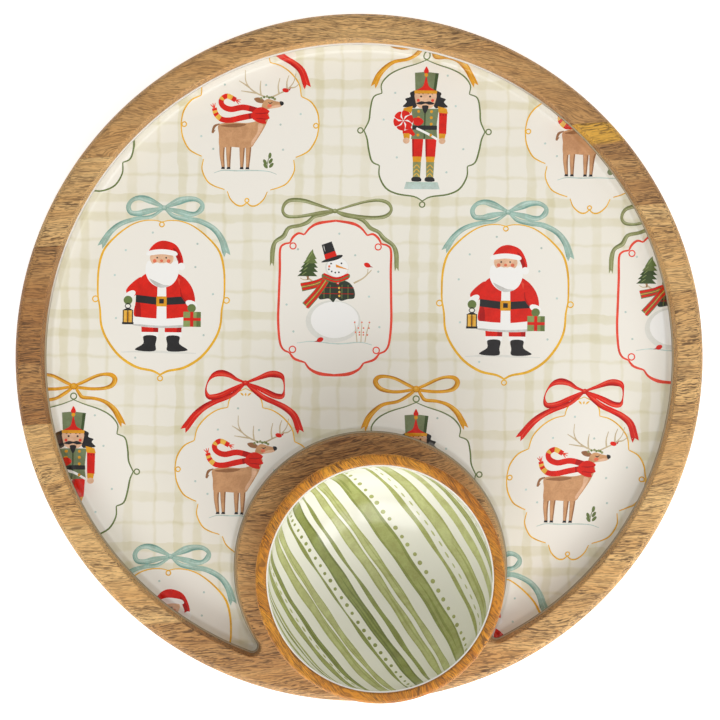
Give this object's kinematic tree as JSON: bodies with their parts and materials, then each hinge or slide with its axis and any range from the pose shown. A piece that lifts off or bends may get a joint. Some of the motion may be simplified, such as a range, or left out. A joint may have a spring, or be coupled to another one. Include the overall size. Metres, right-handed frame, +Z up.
{
  "type": "chip and dip server",
  "caption": "Round edge-glued wooden serving tray with a crescent food recess lined in printed enamel, and a loose enamelled dip bowl standing in a round well.",
  "frame": {"origin": "centre of the tray's flat underside, on the surface that it stands on", "axes": "+Z up through the tray's centre; +Y in the plane of the tray, away from the dip bowl; +X to the right of someone who looks along +Y, almost along the boards"},
  "size_m": [0.381, 0.381, 0.0653],
  "materials": {
    "mango_tray": "sanded and oiled, satin",
    "mango_bowl": "turned, sanded and oiled, satin",
    "white_enamel": "poured food-safe enamel, gloss",
    "tray_printed_enamel": "printed layer under clear enamel, gloss",
    "bowl_printed_enamel": "printed layer under clear enamel, gloss"
  },
  "bodies": {
    "tray": {"tray_board_1": "mango_tray", "tray_board_2": "mango_tray", "tray_board_3": "mango_tray", "tray_board_4": "mango_tray", "tray_board_5": "mango_tray", "tray_board_6": "mango_tray", "tray_board_7": "mango_tray", "tray_enamel": "white_enamel", "tray_print": "tray_printed_enamel"},
    "bowl": {"bowl_wood": "mango_bowl", "bowl_enamel": "white_enamel", "bowl_print": "bowl_printed_enamel"}
  },
  "joints": [
    {"name": "bowl_lift", "type": "slide", "parent": "tray", "child": "bowl", "axis": [0, 0, 1], "range_m": [0, 0.08]}
  ]
}
